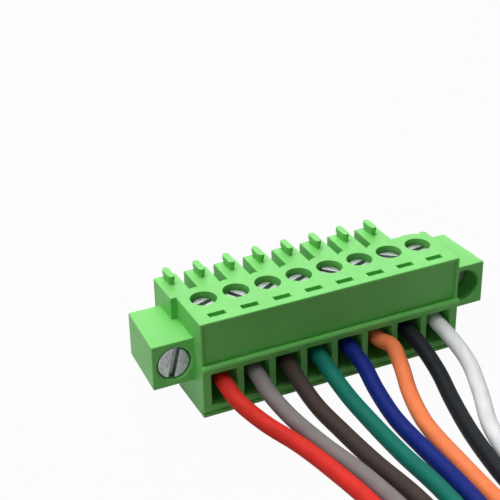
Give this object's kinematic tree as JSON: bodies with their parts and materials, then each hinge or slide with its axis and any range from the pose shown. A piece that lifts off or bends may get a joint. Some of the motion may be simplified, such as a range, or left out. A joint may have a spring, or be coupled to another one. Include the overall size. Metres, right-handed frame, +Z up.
{
  "type": "pluggable terminal block",
  "caption": "Pluggable screw terminal block with screw flanges, tongued contact carrier, rising cage clamps and clamped leads that end in stripped conductors.",
  "frame": {"origin": "on the base face, midway between the middle two poles and below the line of the clamp screw axes", "axes": "+X along the row of poles, +Y the plug-in direction (the leads leave along -Y), +Z up, the way the clamp screw heads face"},
  "size_m": [0.0412, 0.0643, 0.0126],
  "materials": {
    "housing_plastic": "satin moulded polyamide",
    "zinc_steel": "bright zinc plate",
    "tinned_metal": "tin plate",
    "copper": "bare stranded copper",
    "lead_red": "smooth soft PVC",
    "lead_grey": "smooth soft PVC",
    "lead_brown": "smooth soft PVC",
    "lead_teal": "smooth soft PVC",
    "lead_navy": "smooth soft PVC",
    "lead_orange": "smooth soft PVC",
    "lead_black": "smooth soft PVC",
    "lead_white": "smooth soft PVC"
  },
  "bodies": {
    "block": {"housing": "housing_plastic", "contact_1": "tinned_metal", "contact_2": "tinned_metal", "contact_3": "tinned_metal", "contact_4": "tinned_metal", "contact_5": "tinned_metal", "contact_6": "tinned_metal", "contact_7": "tinned_metal", "contact_8": "tinned_metal", "conductor_1": "copper", "conductor_2": "copper", "conductor_3": "copper", "conductor_4": "copper", "conductor_5": "copper", "conductor_6": "copper", "conductor_7": "copper", "conductor_8": "copper", "lead_1": "lead_red", "lead_2": "lead_grey", "lead_3": "lead_brown", "lead_4": "lead_teal", "lead_5": "lead_navy", "lead_6": "lead_orange", "lead_7": "lead_black", "lead_8": "lead_white"},
    "clamp_screw_1": {"clamp_screw_1": "zinc_steel"},
    "clamp_cage_1": {"clamp_cage_1": "zinc_steel"},
    "clamp_screw_2": {"clamp_screw_2": "zinc_steel"},
    "clamp_cage_2": {"clamp_cage_2": "zinc_steel"},
    "clamp_screw_3": {"clamp_screw_3": "zinc_steel"},
    "clamp_cage_3": {"clamp_cage_3": "zinc_steel"},
    "clamp_screw_4": {"clamp_screw_4": "zinc_steel"},
    "clamp_cage_4": {"clamp_cage_4": "zinc_steel"},
    "clamp_screw_5": {"clamp_screw_5": "zinc_steel"},
    "clamp_cage_5": {"clamp_cage_5": "zinc_steel"},
    "clamp_screw_6": {"clamp_screw_6": "zinc_steel"},
    "clamp_cage_6": {"clamp_cage_6": "zinc_steel"},
    "clamp_screw_7": {"clamp_screw_7": "zinc_steel"},
    "clamp_cage_7": {"clamp_cage_7": "zinc_steel"},
    "clamp_screw_8": {"clamp_screw_8": "zinc_steel"},
    "clamp_cage_8": {"clamp_cage_8": "zinc_steel"},
    "flange_screw_left": {"flange_screw_left": "zinc_steel"},
    "flange_screw_right": {"flange_screw_right": "zinc_steel"}
  },
  "joints": [
    {"name": "clamp_screw_1_turn", "type": "hinge", "parent": "block", "child": "clamp_screw_1", "pos_m": [-0.01333, 0, 0.0093], "axis": [0, 0, 1], "range_deg": [0, 1440]},
    {"name": "clamp_cage_1_drop", "type": "slide", "parent": "block", "child": "clamp_cage_1", "axis": [0, 0, -1], "range_m": [0, 0.0016]},
    {"name": "clamp_screw_2_turn", "type": "hinge", "parent": "block", "child": "clamp_screw_2", "pos_m": [-0.00953, 0, 0.0093], "axis": [0, 0, 1], "range_deg": [0, 1440]},
    {"name": "clamp_cage_2_drop", "type": "slide", "parent": "block", "child": "clamp_cage_2", "axis": [0, 0, -1], "range_m": [0, 0.0016]},
    {"name": "clamp_screw_3_turn", "type": "hinge", "parent": "block", "child": "clamp_screw_3", "pos_m": [-0.00571, 0, 0.0093], "axis": [0, 0, 1], "range_deg": [0, 1440]},
    {"name": "clamp_cage_3_drop", "type": "slide", "parent": "block", "child": "clamp_cage_3", "axis": [0, 0, -1], "range_m": [0, 0.0016]},
    {"name": "clamp_screw_4_turn", "type": "hinge", "parent": "block", "child": "clamp_screw_4", "pos_m": [-0.00191, 0, 0.0093], "axis": [0, 0, 1], "range_deg": [0, 1440]},
    {"name": "clamp_cage_4_drop", "type": "slide", "parent": "block", "child": "clamp_cage_4", "axis": [0, 0, -1], "range_m": [0, 0.0016]},
    {"name": "clamp_screw_5_turn", "type": "hinge", "parent": "block", "child": "clamp_screw_5", "pos_m": [0.00191, 0, 0.0093], "axis": [0, 0, 1], "range_deg": [0, 1440]},
    {"name": "clamp_cage_5_drop", "type": "slide", "parent": "block", "child": "clamp_cage_5", "axis": [0, 0, -1], "range_m": [0, 0.0016]},
    {"name": "clamp_screw_6_turn", "type": "hinge", "parent": "block", "child": "clamp_screw_6", "pos_m": [0.00571, 0, 0.0093], "axis": [0, 0, 1], "range_deg": [0, 1440]},
    {"name": "clamp_cage_6_drop", "type": "slide", "parent": "block", "child": "clamp_cage_6", "axis": [0, 0, -1], "range_m": [0, 0.0016]},
    {"name": "clamp_screw_7_turn", "type": "hinge", "parent": "block", "child": "clamp_screw_7", "pos_m": [0.00953, 0, 0.0093], "axis": [0, 0, 1], "range_deg": [0, 1440]},
    {"name": "clamp_cage_7_drop", "type": "slide", "parent": "block", "child": "clamp_cage_7", "axis": [0, 0, -1], "range_m": [0, 0.0016]},
    {"name": "clamp_screw_8_turn", "type": "hinge", "parent": "block", "child": "clamp_screw_8", "pos_m": [0.01333, 0, 0.0093], "axis": [0, 0, 1], "range_deg": [0, 1440]},
    {"name": "clamp_cage_8_drop", "type": "slide", "parent": "block", "child": "clamp_cage_8", "axis": [0, 0, -1], "range_m": [0, 0.0016]},
    {"name": "flange_screw_left_turn", "type": "hinge", "parent": "block", "child": "flange_screw_left", "pos_m": [-0.01811, 0, 0.0064], "axis": [0, 1, 0], "continuous": true},
    {"name": "flange_screw_right_turn", "type": "hinge", "parent": "block", "child": "flange_screw_right", "pos_m": [0.01811, 0, 0.0064], "axis": [0, 1, 0], "continuous": true}
  ],
  "couplings": [
    {"joint": "clamp_screw_1_turn", "follows": "clamp_cage_1_drop", "rad_per_m": 15707},
    {"joint": "clamp_screw_2_turn", "follows": "clamp_cage_2_drop", "rad_per_m": 15707},
    {"joint": "clamp_screw_3_turn", "follows": "clamp_cage_3_drop", "rad_per_m": 15707},
    {"joint": "clamp_screw_4_turn", "follows": "clamp_cage_4_drop", "rad_per_m": 15707},
    {"joint": "clamp_screw_5_turn", "follows": "clamp_cage_5_drop", "rad_per_m": 15707},
    {"joint": "clamp_screw_6_turn", "follows": "clamp_cage_6_drop", "rad_per_m": 15707},
    {"joint": "clamp_screw_7_turn", "follows": "clamp_cage_7_drop", "rad_per_m": 15707},
    {"joint": "clamp_screw_8_turn", "follows": "clamp_cage_8_drop", "rad_per_m": 15707}
  ]
}
